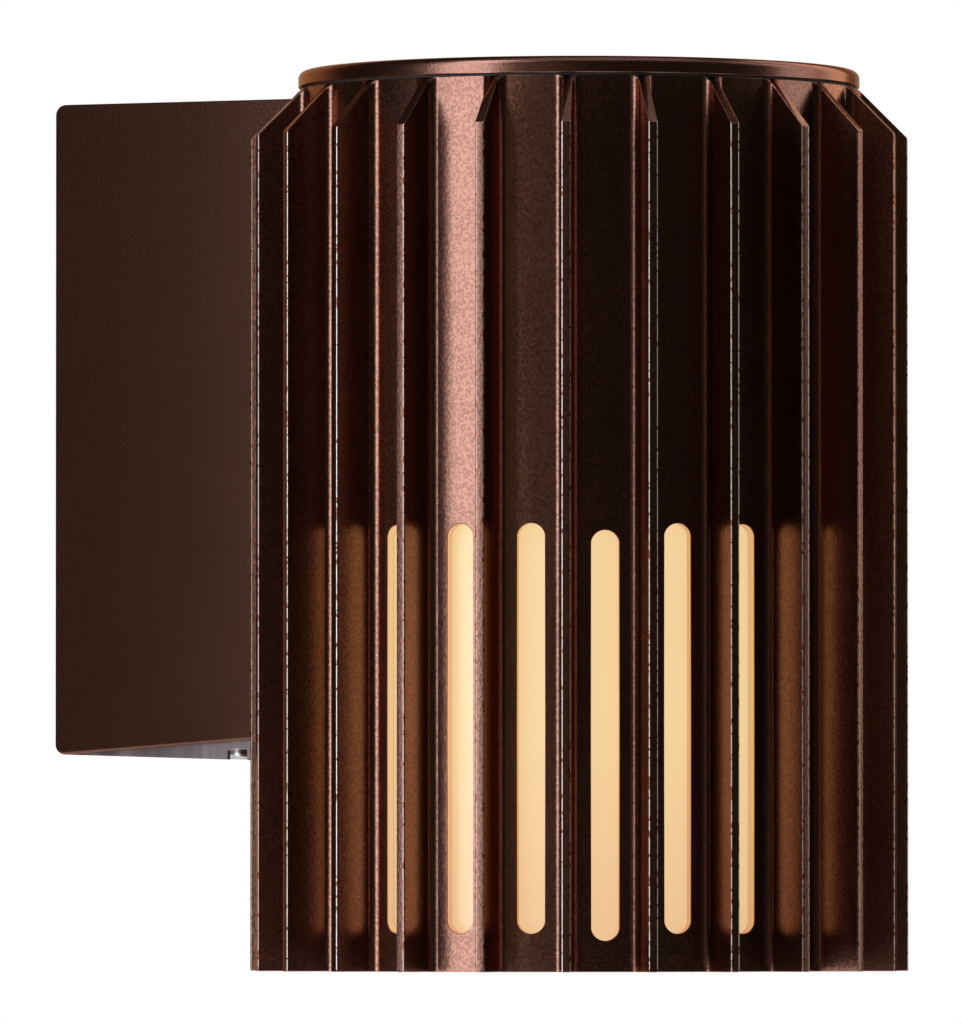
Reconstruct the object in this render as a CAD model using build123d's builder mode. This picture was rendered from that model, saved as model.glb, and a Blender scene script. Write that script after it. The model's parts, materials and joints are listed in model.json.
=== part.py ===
from build123d import *
import os
from math import asin, cos, degrees, hypot, radians, sin, sqrt, tan

# Outdoor wall light: a finned metal tube with light slots, carried off the wall by a box arm.
# Millimetres. +Z is up, the wall is the plane Y = 0 and the light stands out towards -Y.
# The origin is the centre of the arm's wall face. A height is counted from the fins' lower ends.

# Overall dimensions
fin_circle_radius = 62.2
axis_to_wall = 101.4
overall_height = 170.0
arm_width = 38.0
arm_bottom = 41.0
arm_top = 165.2
base_z = -(arm_bottom + arm_top) / 2

# How far a cutting shape runs past what it cuts, and a fixed boss sinks into its wall
overshoot = 1.0
bite = 0.5

# Finned tube
tube_radius = 52.9
bore_radius = 50.9
fin_thickness = 1.8
fin_pitch = 15.0
fin_root_radius = 2.2
arm_side_root_radius = 0.9
fin_shoulder = 157.0
tube_height = 166.4
fin_edge_radius = 0.3

# Light slots
slot_width = 5.3
slot_length = 76.1
slot_middle = 45.15
slot_span = 135.0
low_slot_angle = -60.0
low_slot_drop = 1.3

# Clearances
screw_clearance = 0.2
small_screw_clearance = 0.15
thread_play = 0.02
lead_clearance = 0.1

# Cap, its gasket and the stud that holds it down
cap_radius = 53.1
cap_thickness = 3.2
cap_edge_radius = 1.5
cap_under_chamfer = 0.3
gasket_thickness = overall_height - cap_thickness - tube_height
gasket_radius = 52.3
spigot_radius = 50.5
spigot_depth = 2.5
spigot_wall = 2.5
stud_boss_radius = 8.0
stud_radius = 3.0
stud_chamfer = 0.5
stud_low = 142.5
stud_high = 168.4
bridge_low = 150.0
bridge_thickness = 4.0
bridge_width = 14.0
washer_radius = 6.0
washer_thickness = 1.0
nut_height = 5.0
nut_flats = 10.0

# Mounting plate across the tube, and the lugs it is screwed to
plate_radius = 50.4
plate_low = 98.4
plate_thickness = 1.6
plate_high = plate_low + plate_thickness
lug_height = 12.0
lug_width = 9.0
lug_reach = 34.0
lug_circle = 39.0
lug_count = 3
lug_start = 30.0
lug_skin = 2.0

# Lampholder and bracket
holder_radius = 19.5
holder_neck_radius = 16.0
holder_gap = 0.9
holder_cone = 3.0
holder_edge_radius = 1.5
holder_low = 90.0
holder_shoulder = 117.0
holder_top = 137.0
holder_bore = 14.0
holder_bore_top = 120.0
shell_radius = 13.9
shell_wall = 0.45
shell_low = 96.0
shell_high = 114.0
strip_thickness = 1.2
strip_width = 16.0
strip_bend = 1.5
leg_spread = 24.4
foot_spread = 36.0
foot_screw_spread = 31.0
holder_screw_spread = 7.0
holder_screw_depth = 7.0
terminal_height = 129.0
terminal_spread = 9.0
terminal_reach = 8.0
contact_thickness = 0.6
contact_width = 5.0
contact_bend = 1.0
contact_profile = [(-11.0, 119.7), (-6.0, 119.7), (-2.0, 116.6), (2.0, 116.6), (4.0, 117.6)]

# Lamp bulb
bulb_cap_radius = 13.1
bulb_cap_low = 93.0
bulb_cap_high = 112.0
bulb_cap_cone = 2.0
bulb_cap_taper = 4.0
bulb_tip = 116.0
bulb_tip_radius = 4.2
bulb_tip_height = 0.8
collar_low = 62.0
collar_lip = 0.6
collar_waist_height = 79.0
collar_waist = 2.2
globe_radius = 30.0
globe_middle = 44.0
globe_wall = 1.2

# Diffuser and the ring that it is pushed on to
diffuser_radius = 49.8
diffuser_wall = 2.4
diffuser_low = 5.0
diffuser_dome = 1.5
diffuser_rim = 96.5
diffuser_corner = 4.0
diffuser_lip_radius = 0.6
ring_radius = 46.9
ring_wall = 2.2
ring_low = 85.5
ring_flange = 1.6
ring_margin = 0.4
ring_ear_margin = 1.5
seal_groove_depth = 5.0
seal_groove_play = 0.2
seal_section = 0.9
seal_height = 90.5
seal_gap = 0.1

# Wall arm
arm_wall = 2.0
arm_corner = 2.0
arm_underside_rise = 0.0663
saddle_gasket = 0.8
saddle_radius = tube_radius + saddle_gasket
saddle_wall = 3.2
arm_edge_radius = 0.5
gasket_margin = 0.6
gasket_side_margin = 1.5
gasket_frame = 4.0
arm_screw_heights = (111.0, 157.0)
arm_boss_radius = 5.0
arm_boss_length = 7.5
lead_hole_height = 134.0
lead_hole_radius = 6.0
hook_rib_depth = 3.0
hook_play = 0.6

# Wall bracket and what it carries
bracket_width = 28.0
bracket_thickness = 2.0
hook_level = 157.0
hook_reach = 8.0
hook_high = 162.7
tongue_reach = 36.0
bracket_bend = 1.6
wall_slot_spacing = 88.0
wall_slot_width = 4.6
wall_slot_length = 8.0
cable_entry_height = 70.0
cable_hole_radius = 6.5
grommet_bore_radius = 3.6
grommet_length = 9.0
grommet_fit = 0.05
grommet_flange = 2.5
grommet_flange_thickness = 1.5
grommet_lip = 1.2
wall_gasket_fit = 0.1
wall_gasket_width = 2.4
wall_gasket_depth = 3.0
wall_gasket_low = 50.0
block_width = 25.0
block_depth = 13.0
block_height = 16.0
block_middle = 94.0
block_corner = 1.0
groove_width = 1.2
groove_depth = 2.5
pole_pitch = 8.0
pole_row = 4.0
pole_well_radius = 2.1
pole_well_depth = 5.0
pole_screw_radius = 2.0
pole_screw_height = 2.2
pole_slot_width = 0.7
pole_slot_depth = 0.8
earth_screw_height = 118.0

# Bare metal tray that closes the arm underneath
tray_sheet = 1.2
tray_fit = 0.1
tray_start = 1.0
tray_start_height = 41.15
tray_fall = 0.0313
tray_top = 48.0
tray_end = 46.4
tray_step = 43.9
recess_start = 25.4
recess_lead = 0.8
tray_gap = 0.3
recess_ceiling = 42.1
notch_near = 35.7
notch_far = 39.9
notch_corner = 0.6
cover_screw_out = 30.0

# Fasteners and leads
screw_length = 9.0
small_screw_length = 6.0
screw_head_radius = 3.6
screw_head_height = 2.2
screw_radius = 1.9
small_head_radius = 2.8
small_head_height = 1.8
small_screw_radius = 1.4
lead_radius = 1.1
lead_spacing = 2.8
tapped_radius = screw_radius + thread_play
small_tapped_radius = small_screw_radius + thread_play

fin_count = round(360 / fin_pitch) - 2
fin_middle = (tube_radius + fin_circle_radius) / 2
slot_count = round(2 * slot_span / fin_pitch) + 1
slot_angles = [fin_pitch * n - slot_span for n in range(slot_count)]
cap_low = overall_height - cap_thickness
fin_slope_end = fin_shoulder + fin_circle_radius - tube_radius
saddle_y = -(axis_to_wall - saddle_radius)
cavity_y = saddle_y + saddle_wall


def level(height):
    """The horizontal plane at a height, with its origin on the tube's axis."""
    return Plane(origin=(0, -axis_to_wall, base_z + height))


def facing_wall(y, height):
    """A vertical plane at Y that faces the wall, centred at a height on the arm's centre line."""
    return Plane(origin=(0, y, base_z + height), x_dir=(-1, 0, 0), z_dir=(0, 1, 0))


def channel_plane(angle, height):
    """The plane on the tube's axis that faces outwards at an angle from the front (-Y)."""
    outward = (sin(radians(angle)), -cos(radians(angle)), 0)
    return Plane(origin=(0, -axis_to_wall, base_z + height), x_dir=(0, 0, 1), z_dir=outward)


def beside_arm(corner):
    """Whether a corner of the tube's section is a fin root next to the arm, which fits between two fins."""
    return corner.Y > tube_radius / 2 and abs(corner.X) < (arm_width + fin_thickness) / 2


# The upright plane through the tube's axis, and the arm's side plane counting out from the wall
tube_axis = Axis((0, -axis_to_wall, 0), (0, 0, 1))
upright = Plane(origin=(0, -axis_to_wall, base_z), x_dir=(1, 0, 0), z_dir=(0, -1, 0))
side_plane = Plane(origin=(0, 0, base_z), x_dir=(0, -1, 0), z_dir=(-1, 0, 0))


def export(piece, name):
    """Labels a finished piece and writes it as parts/NAME.step."""
    piece.part.label = name
    export_step(piece.part, f"parts/{name}.step")


def pan_screw(head_radius, head_height, shank_radius, length):
    """A pan-head screw with a hexagon recess, its shank along +Z from the seat at the origin."""
    head_rounding = 0.6 * head_height
    recess_radius = 0.45 * head_radius
    recess_depth = 0.55 * head_height
    point_chamfer = 0.3 * shank_radius
    with BuildPart() as screw:
        Cylinder(head_radius, head_height, align=(Align.CENTER, Align.CENTER, Align.MAX))
        fillet(screw.edges().sort_by(Axis.Z)[0], head_rounding)
        Cylinder(shank_radius, length, align=(Align.CENTER, Align.CENTER, Align.MIN))
        chamfer(screw.edges().sort_by(Axis.Z)[-1], point_chamfer)
        with BuildSketch(Plane.XY.offset(-head_height)):
            RegularPolygon(recess_radius, 6, major_radius=False)
        extrude(amount=recess_depth, mode=Mode.SUBTRACT)
    return screw.part


def lead(points):
    """A round wire through a list of points, with arcs as large as its runs allow."""
    runs = [(Vector(b) - Vector(a)) for a, b in zip(points, points[1:])]
    arcs = []
    for before, after in zip(runs, runs[1:]):
        turn = radians(before.get_angle(after))
        arcs.append(0.45 * min(before.length, after.length) / tan(turn / 2))
    print("lead arc radii", [round(radius, 1) for radius in arcs])
    with BuildPart() as wire:
        with BuildLine() as route:
            FilletPolyline(*points, radius=arcs)
        with BuildSketch(Plane(origin=route.line @ 0, z_dir=route.line % 0)):
            Circle(lead_radius)
        sweep(path=route.line)
    return wire


os.makedirs("parts", exist_ok=True)
screw = pan_screw(screw_head_radius, screw_head_height, screw_radius, screw_length)
small_screw = pan_screw(small_head_radius, small_head_height, small_screw_radius, small_screw_length)

# Finned tube: one extruded section, bevelled at the top, bored, slotted and fitted out inside
with BuildPart() as finned_body:
    with BuildSketch(level(0)) as section:
        Circle(tube_radius)
        with PolarLocations(0, fin_count, 90 + 1.5 * fin_pitch, 360 - 3 * fin_pitch, endpoint=True):
            Rectangle(fin_circle_radius, fin_thickness, align=(Align.MIN, Align.CENTER))
        corners = section.vertices()
        fillet([v for v in corners if hypot(v.X, v.Y) > fin_middle], fin_edge_radius)
        corners = section.vertices()
        roots = [v for v in corners if hypot(v.X, v.Y) < fin_middle and abs(v.Y) > fin_thickness]
        fillet([v for v in roots if not beside_arm(v)], fin_root_radius)
        fillet([v for v in section.vertices() if beside_arm(v)], arm_side_root_radius)
        Circle(bore_radius, mode=Mode.SUBTRACT)
    extrude(amount=tube_height)

    with BuildSketch(upright):
        with BuildLine():
            Polyline(
                (tube_radius, fin_slope_end),
                (fin_circle_radius + overshoot, fin_shoulder - overshoot),
                (fin_circle_radius + overshoot, tube_height + overshoot),
                (tube_radius, tube_height + overshoot),
                close=True,
            )
        make_face()
    revolve(axis=tube_axis, mode=Mode.SUBTRACT)

    for angle in slot_angles:
        drop = low_slot_drop if angle == low_slot_angle else 0
        with BuildSketch(channel_plane(angle, slot_middle - drop).offset(bore_radius - overshoot)):
            SlotOverall(slot_length, slot_width)
        extrude(amount=tube_radius - bore_radius + 2 * overshoot, mode=Mode.SUBTRACT)

    with BuildSketch(level(plate_high)):
        with PolarLocations(0, lug_count, lug_start):
            Rectangle(tube_radius, lug_width, align=(Align.MIN, Align.CENTER))
        Circle(lug_reach, mode=Mode.SUBTRACT)
        Circle(bore_radius + bite, mode=Mode.INTERSECT)
    extrude(amount=lug_height)
    with BuildSketch(level(plate_high)):
        with PolarLocations(lug_circle, lug_count, lug_start):
            Circle(tapped_radius)
    extrude(amount=lug_height - lug_skin, mode=Mode.SUBTRACT)

    with BuildSketch(level(bridge_low)):
        Rectangle(2 * tube_radius, bridge_width)
        Circle(bore_radius + bite, mode=Mode.INTERSECT)
        Circle(stud_radius + screw_clearance, mode=Mode.SUBTRACT)
    extrude(amount=bridge_thickness)

    for height in arm_screw_heights:
        with BuildSketch(facing_wall(-axis_to_wall + tube_radius - bite, height)):
            Circle(arm_boss_radius)
        extrude(amount=-arm_boss_length)
        with BuildSketch(facing_wall(-axis_to_wall + tube_radius + overshoot, height)):
            Circle(tapped_radius)
        extrude(amount=-arm_boss_length, mode=Mode.SUBTRACT)
    with BuildSketch(facing_wall(-axis_to_wall + tube_radius + overshoot, lead_hole_height)):
        Circle(lead_hole_radius)
    extrude(amount=-arm_boss_length, mode=Mode.SUBTRACT)
export(finned_body, "finned_body")

# Cap: a turned disc with a rounded rim and a spigot that drops into the tube
with BuildPart() as top_cap:
    with BuildSketch(level(cap_low)):
        Circle(cap_radius)
    extrude(amount=cap_thickness)
    fillet(top_cap.edges().sort_by(Axis.Z)[-1], cap_edge_radius)
    chamfer(top_cap.edges().sort_by(Axis.Z)[0], cap_under_chamfer)
    with BuildSketch(level(cap_low)):
        Circle(spigot_radius)
    extrude(amount=-spigot_depth)
    with BuildSketch(level(cap_low - spigot_depth)):
        Circle(spigot_radius - spigot_wall)
        Circle(stud_boss_radius, mode=Mode.SUBTRACT)
    extrude(amount=spigot_depth, mode=Mode.SUBTRACT)
    with BuildSketch(level(cap_low - spigot_depth)):
        Circle(stud_radius)
    extrude(amount=stud_high - cap_low + spigot_depth, mode=Mode.SUBTRACT)
export(top_cap, "top_cap")

with BuildPart() as cap_gasket:
    with BuildSketch(level(tube_height)):
        Circle(gasket_radius)
        Circle(bore_radius, mode=Mode.SUBTRACT)
    extrude(amount=gasket_thickness)
export(cap_gasket, "cap_gasket")

with BuildPart() as cap_stud:
    with BuildSketch(level(stud_low)):
        Circle(stud_radius)
    extrude(amount=stud_high - stud_low)
    chamfer(cap_stud.edges().sort_by(Axis.Z)[0], stud_chamfer)
export(cap_stud, "cap_stud")

with BuildPart() as cap_washer:
    with BuildSketch(level(bridge_low - washer_thickness)):
        Circle(washer_radius)
        Circle(stud_radius + screw_clearance, mode=Mode.SUBTRACT)
    extrude(amount=washer_thickness)
export(cap_washer, "cap_washer")

with BuildPart() as cap_nut:
    with BuildSketch(level(bridge_low - washer_thickness - nut_height)):
        RegularPolygon(nut_flats / 2, 6, major_radius=False)
        Circle(stud_radius + thread_play, mode=Mode.SUBTRACT)
    extrude(amount=nut_height)
export(cap_nut, "cap_nut")

# Mounting plate, with the sealing ring clamped under it by the same three screws
with BuildPart() as mounting_plate:
    with BuildSketch(level(plate_low)):
        Circle(plate_radius)
        Circle(holder_radius + holder_gap, mode=Mode.SUBTRACT)
        with PolarLocations(lug_circle, lug_count, lug_start):
            Circle(screw_radius + screw_clearance, mode=Mode.SUBTRACT)
        with Locations((foot_screw_spread, 0), (-foot_screw_spread, 0), (0, foot_screw_spread)):
            Circle(small_tapped_radius, mode=Mode.SUBTRACT)
    extrude(amount=plate_thickness)
export(mounting_plate, "mounting_plate")

with BuildPart() as diffuser_ring:
    with BuildSketch(level(plate_low - ring_flange)):
        Circle(plate_radius - ring_margin)
        Circle(ring_radius - ring_wall, mode=Mode.SUBTRACT)
        with PolarLocations((lug_reach + ring_radius) / 2, lug_count, lug_start):
            Rectangle(ring_radius - lug_reach, lug_width + 2 * ring_ear_margin)
        with PolarLocations(lug_circle, lug_count, lug_start):
            Circle(screw_radius + screw_clearance, mode=Mode.SUBTRACT)
    extrude(amount=ring_flange)
    with BuildSketch(level(ring_low)):
        Circle(ring_radius)
        Circle(ring_radius - ring_wall, mode=Mode.SUBTRACT)
    extrude(amount=plate_low - ring_low - ring_flange)
    groove_radius = diffuser_radius - diffuser_wall - seal_gap - 2 * seal_section
    with BuildSketch(upright):
        with Locations((groove_radius, seal_height)):
            seal_groove_width = 2 * (seal_section + seal_groove_play)
            Rectangle(seal_groove_depth, seal_groove_width, align=(Align.MIN, Align.CENTER))
    revolve(axis=tube_axis, mode=Mode.SUBTRACT)
export(diffuser_ring, "diffuser_ring")

with BuildPart() as diffuser_seal:
    with BuildSketch(upright):
        with Locations((groove_radius + seal_section, seal_height)):
            Circle(seal_section)
    revolve(axis=tube_axis)
export(diffuser_seal, "diffuser_seal")

with BuildPart() as plate_screws:
    with Locations(level(plate_low - ring_flange)):
        with PolarLocations(lug_circle, lug_count, lug_start):
            add(screw)
export(plate_screws, "plate_screws")

# Diffuser: an opal cup with a domed bottom, open at the top
with BuildPart() as diffuser:
    inner_radius = diffuser_radius - diffuser_wall
    dome_radius = (diffuser_radius**2 + diffuser_dome**2) / (2 * diffuser_dome)
    dome_middle = diffuser_low - diffuser_dome + dome_radius
    inner_dome_radius = dome_radius - diffuser_wall
    dome_angle = degrees(asin(diffuser_radius / dome_radius))
    inner_dome_angle = degrees(asin(inner_radius / inner_dome_radius))
    with BuildSketch(upright) as cup_section:
        with BuildLine():
            under = CenterArc((0, dome_middle), dome_radius, -90, dome_angle)
            floor = CenterArc((0, dome_middle), inner_dome_radius, -90, inner_dome_angle)
            Polyline(
                under @ 1,
                (diffuser_radius, diffuser_rim),
                (inner_radius, diffuser_rim),
                floor @ 1,
            )
            Line(floor @ 0, under @ 0)
        make_face()
        outer_corner = cup_section.vertices().group_by(Axis.X)[-1].sort_by(Axis.Y)[0]
        fillet(outer_corner, diffuser_corner)
        inner_corner = cup_section.vertices().sort_by_distance(floor @ 1)[0]
        fillet(inner_corner, diffuser_corner - diffuser_wall)
    revolve(axis=tube_axis)
    fillet(diffuser.edges().group_by(Axis.Z)[-1], diffuser_lip_radius)
export(diffuser, "diffuser")

# Lampholder: turned body, screw shell and contact, hung from a bent strip bracket
with BuildPart() as lampholder:
    with BuildSketch(upright):
        with BuildLine():
            Polyline(
                (holder_bore, holder_low),
                (holder_radius, holder_low),
                (holder_radius, holder_shoulder),
                (holder_neck_radius, holder_shoulder + holder_cone),
                (holder_neck_radius, holder_top),
                (0, holder_top),
                (0, holder_bore_top),
                (holder_bore, holder_bore_top),
                close=True,
            )
        make_face()
    revolve(axis=tube_axis)
    fillet(lampholder.edges().group_by(Axis.Z)[-1], holder_edge_radius)
    with Locations(level(holder_top)):
        with Locations((-holder_screw_spread, 0), (holder_screw_spread, 0)):
            Hole(small_screw_radius, holder_screw_depth)
    with BuildSketch(facing_wall(-axis_to_wall + holder_radius, terminal_height)):
        with Locations((-terminal_spread, 0), (terminal_spread, 0)):
            Circle(lead_radius + lead_clearance)
    extrude(amount=-(holder_radius - terminal_reach), mode=Mode.SUBTRACT)
export(lampholder, "lampholder")

with BuildPart() as lampholder_shell:
    with BuildSketch(level(shell_low)):
        Circle(shell_radius)
        Circle(shell_radius - shell_wall, mode=Mode.SUBTRACT)
    extrude(amount=shell_high - shell_low)
export(lampholder_shell, "lampholder_shell")

with BuildPart() as lampholder_contact:
    with BuildSketch(upright):
        with BuildLine():
            FilletPolyline(*contact_profile, radius=contact_bend)
        trace(line_width=contact_thickness)
    extrude(amount=contact_width / 2, both=True)
export(lampholder_contact, "lampholder_contact")

with BuildPart() as lampholder_bracket:
    with BuildSketch(upright):
        with BuildLine():
            strip_level = plate_high + strip_thickness / 2
            top_level = holder_top + strip_thickness / 2
            FilletPolyline(
                (-foot_spread, strip_level),
                (-leg_spread, strip_level),
                (-leg_spread, top_level),
                (leg_spread, top_level),
                (leg_spread, strip_level),
                (foot_spread, strip_level),
                radius=strip_bend,
            )
        trace(line_width=strip_thickness)
    extrude(amount=strip_width / 2, both=True)
    with Locations(level(holder_top + strip_thickness)):
        with Locations((-holder_screw_spread, 0), (holder_screw_spread, 0)):
            Hole(small_screw_radius + small_screw_clearance, strip_thickness + overshoot)
    with Locations(level(plate_high + strip_thickness)):
        with Locations((-foot_screw_spread, 0), (foot_screw_spread, 0)):
            Hole(small_screw_radius + small_screw_clearance, strip_thickness + overshoot)
export(lampholder_bracket, "lampholder_bracket")

with BuildPart() as bracket_screws:
    with Locations(level(plate_high + strip_thickness)):
        for side in (-1, 1):
            with Locations(Location((side * foot_screw_spread, 0, 0), (180, 0, 0))):
                add(small_screw)
export(bracket_screws, "bracket_screws")

with BuildPart() as lampholder_screws:
    with Locations(level(holder_top + strip_thickness)):
        for side in (-1, 1):
            with Locations(Location((side * holder_screw_spread, 0, 0), (180, 0, 0))):
                add(small_screw)
export(lampholder_screws, "lampholder_screws")

# Lamp bulb: screw cap, insulator with its tip contact, collar and globe, all turned
with BuildPart() as bulb_cap:
    with BuildSketch(upright):
        with BuildLine():
            Polyline(
                (0, bulb_cap_low),
                (bulb_cap_radius, bulb_cap_low),
                (bulb_cap_radius, bulb_cap_high),
                (bulb_cap_radius - bulb_cap_taper, bulb_cap_high + bulb_cap_cone),
                (0, bulb_cap_high + bulb_cap_cone),
                close=True,
            )
        make_face()
    revolve(axis=tube_axis)
export(bulb_cap, "bulb_cap")

with BuildPart() as bulb_contact:
    with BuildSketch(upright):
        with BuildLine():
            Polyline(
                (0, bulb_cap_high + bulb_cap_cone),
                (bulb_cap_radius - bulb_cap_taper - screw_clearance, bulb_cap_high + bulb_cap_cone),
                (bulb_tip_radius + small_screw_clearance, bulb_tip - bulb_tip_height),
                (bulb_tip_radius, bulb_tip),
                (0, bulb_tip),
                close=True,
            )
        make_face()
    revolve(axis=tube_axis)
export(bulb_contact, "bulb_contact")

globe_mouth = sqrt(globe_radius**2 - (collar_low - globe_middle) ** 2)
with BuildPart() as bulb_collar:
    with BuildSketch(upright):
        with BuildLine():
            neck = bulb_cap_radius + collar_lip
            Polyline((0, collar_low), (globe_mouth, collar_low))
            Spline(
                (globe_mouth, collar_low),
                (neck + collar_waist, collar_waist_height),
                (neck, bulb_cap_low),
                tangents=[(-0.75, 1), (0, 1)],
            )
            Polyline((neck, bulb_cap_low), (0, bulb_cap_low), (0, collar_low))
        make_face()
    revolve(axis=tube_axis)
export(bulb_collar, "bulb_collar")

with BuildPart() as bulb_globe:
    with BuildSketch(upright):
        with Locations((0, globe_middle)):
            Circle(globe_radius)
            Circle(globe_radius - globe_wall, mode=Mode.SUBTRACT)
        with Locations((0, globe_middle)):
            Rectangle(globe_radius, 2 * globe_radius, align=(Align.MIN, Align.CENTER), mode=Mode.INTERSECT)
        with Locations((0, collar_low)):
            Rectangle(2 * globe_radius, globe_radius, align=(Align.CENTER, Align.MIN), mode=Mode.SUBTRACT)
    revolve(axis=tube_axis)
export(bulb_globe, "bulb_globe")

# Wall arm: a box with a sloping underside, open to the wall, with a saddle against the tube
def arm_underside(out):
    """Height of the arm's lower edge at a distance out from the wall."""
    return arm_bottom + arm_underside_rise * out


with BuildPart() as wall_arm:
    arm_reach = axis_to_wall - sqrt(saddle_radius**2 - arm_width**2 / 4) + overshoot
    with BuildSketch(side_plane) as arm_side:
        with BuildLine():
            Polyline(
                (0, arm_underside(0)),
                (arm_reach, arm_underside(arm_reach)),
                (arm_reach, arm_top),
                (0, arm_top),
                close=True,
            )
        make_face()
        fillet(arm_side.vertices().group_by(Axis.X)[0], arm_corner)
    extrude(amount=arm_width / 2, both=True)
    with BuildSketch(level(0)):
        Circle(saddle_radius)
    extrude(amount=overall_height, mode=Mode.SUBTRACT)
    fillet(wall_arm.edges().filter_by(Axis.Y).group_by(Axis.Z)[-1], arm_edge_radius)
    with BuildSketch(side_plane):
        cavity_height = arm_top - arm_wall - arm_bottom + overshoot
        with Locations((-overshoot, arm_bottom - overshoot)):
            Rectangle(overshoot - cavity_y, cavity_height, align=Align.MIN)
    extrude(amount=arm_width / 2 - arm_wall, both=True, mode=Mode.SUBTRACT)
    with BuildSketch(side_plane):
        rib_out = hook_reach - (bracket_thickness + arm_wall) / 2 - hook_play
        with Locations((rib_out, arm_top - arm_wall - hook_rib_depth / 2)):
            Rectangle(arm_wall, hook_rib_depth)
    extrude(amount=arm_width / 2 - arm_wall, both=True)
    with BuildSketch(facing_wall(cavity_y + overshoot, 0)):
        with Locations((0, arm_screw_heights[0]), (0, arm_screw_heights[1])):
            Circle(screw_radius + screw_clearance)
        with Locations((0, lead_hole_height)):
            Circle(lead_hole_radius)
    extrude(amount=-saddle_wall - 4 * overshoot, mode=Mode.SUBTRACT)
export(wall_arm, "wall_arm")

with BuildPart() as arm_gasket:
    gasket_low = arm_underside(arm_reach) + gasket_margin
    gasket_height = arm_top - gasket_margin - gasket_low
    gasket_width = arm_width - 2 * gasket_side_margin
    with BuildSketch(level(gasket_low)):
        Circle(saddle_radius)
        Circle(tube_radius, mode=Mode.SUBTRACT)
        Rectangle(gasket_width, 2 * tube_radius, align=(Align.CENTER, Align.MIN), mode=Mode.INTERSECT)
    extrude(amount=gasket_height)
    with BuildSketch(facing_wall(cavity_y + overshoot, gasket_low + gasket_height / 2)):
        Rectangle(gasket_width - 2 * gasket_frame, gasket_height - 2 * gasket_frame)
    extrude(amount=-saddle_wall - 4 * overshoot, mode=Mode.SUBTRACT)
export(arm_gasket, "arm_gasket")

with BuildPart() as arm_screws:
    for height in arm_screw_heights:
        with Locations(Location(Plane(facing_wall(cavity_y, height).origin, z_dir=(0, -1, 0)))):
            add(screw)
export(arm_screws, "arm_screws")

# Wall bracket: one bent strip with a hook at the top and a tongue at the bottom
with BuildPart() as wall_bracket:
    half_sheet = bracket_thickness / 2
    tongue_level = recess_ceiling + tray_sheet + half_sheet
    with BuildSketch(side_plane):
        with BuildLine():
            FilletPolyline(
                (hook_reach, hook_high),
                (hook_reach, hook_level),
                (half_sheet, hook_level),
                (half_sheet, tongue_level),
                (tongue_reach, tongue_level),
                radius=bracket_bend,
            )
        trace(line_width=bracket_thickness)
    extrude(amount=bracket_width / 2, both=True)
    with BuildSketch(facing_wall(overshoot, (arm_bottom + arm_top) / 2)):
        with Locations((0, wall_slot_spacing / 2), (0, -wall_slot_spacing / 2)):
            SlotOverall(wall_slot_length, wall_slot_width, rotation=90)
    extrude(amount=-bracket_thickness - 2 * overshoot, mode=Mode.SUBTRACT)
    with BuildSketch(facing_wall(overshoot, 0)):
        with Locations((0, cable_entry_height)):
            Circle(cable_hole_radius)
        with Locations((0, earth_screw_height)):
            Circle(small_tapped_radius)
    extrude(amount=-bracket_thickness - 2 * overshoot, mode=Mode.SUBTRACT)
    with BuildSketch(Plane(origin=(0, -cover_screw_out, base_z + tongue_level))):
        Circle(small_tapped_radius)
    extrude(amount=bracket_thickness, both=True, mode=Mode.SUBTRACT)
export(wall_bracket, "wall_bracket")

with BuildPart() as wall_gasket:
    inner_half = arm_width / 2 - arm_wall - wall_gasket_fit
    gasket_top = arm_top - arm_wall - wall_gasket_fit
    with BuildSketch(facing_wall(0, 0)):
        with Locations((0, wall_gasket_low)):
            Rectangle(2 * inner_half, gasket_top - wall_gasket_low, align=(Align.CENTER, Align.MIN))
            Rectangle(
                2 * (inner_half - wall_gasket_width),
                gasket_top - wall_gasket_low - wall_gasket_width,
                align=(Align.CENTER, Align.MIN),
                mode=Mode.SUBTRACT,
            )
    extrude(amount=-wall_gasket_depth)
export(wall_gasket, "wall_gasket")

with BuildPart() as cable_grommet:
    with BuildSketch(Plane(origin=(0, 0, base_z + cable_entry_height), x_dir=(1, 0, 0), z_dir=(0, 0, 1))):
        with BuildLine():
            Polyline(
                (grommet_bore_radius, 0),
                (cable_hole_radius - grommet_fit, 0),
                (cable_hole_radius - grommet_fit, -bracket_thickness),
                (cable_hole_radius + grommet_flange, -bracket_thickness),
                (cable_hole_radius + grommet_flange, -bracket_thickness - grommet_flange_thickness),
                (cable_hole_radius, -bracket_thickness - grommet_flange),
                (grommet_bore_radius + grommet_lip, -grommet_length),
                (grommet_bore_radius, -grommet_length),
                close=True,
            )
        make_face()
    revolve(axis=Axis((0, 0, base_z + cable_entry_height), (0, 1, 0)))
export(cable_grommet, "cable_grommet")

with BuildPart() as terminal_block:
    block_front = -bracket_thickness - block_depth
    with BuildSketch(facing_wall(-bracket_thickness, block_middle)):
        RectangleRounded(block_width, block_height, block_corner)
    extrude(amount=-block_depth)
    with BuildSketch(facing_wall(block_front, block_middle)):
        with GridLocations(pole_pitch, 0, 2, 1):
            Rectangle(groove_width, block_height + overshoot)
    extrude(amount=groove_depth, mode=Mode.SUBTRACT)
    with BuildSketch(facing_wall(block_front, block_middle)):
        with GridLocations(pole_pitch, 2 * pole_row, 3, 2):
            Circle(pole_well_radius)
    extrude(amount=pole_well_depth, mode=Mode.SUBTRACT)
    with BuildSketch(Plane(origin=(0, -bracket_thickness - block_depth / 2, base_z + block_middle))):
        with GridLocations(pole_pitch, 0, 3, 1):
            Circle(lead_radius + lead_clearance)
    extrude(amount=block_height, both=True, mode=Mode.SUBTRACT)
export(terminal_block, "terminal_block")

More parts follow.
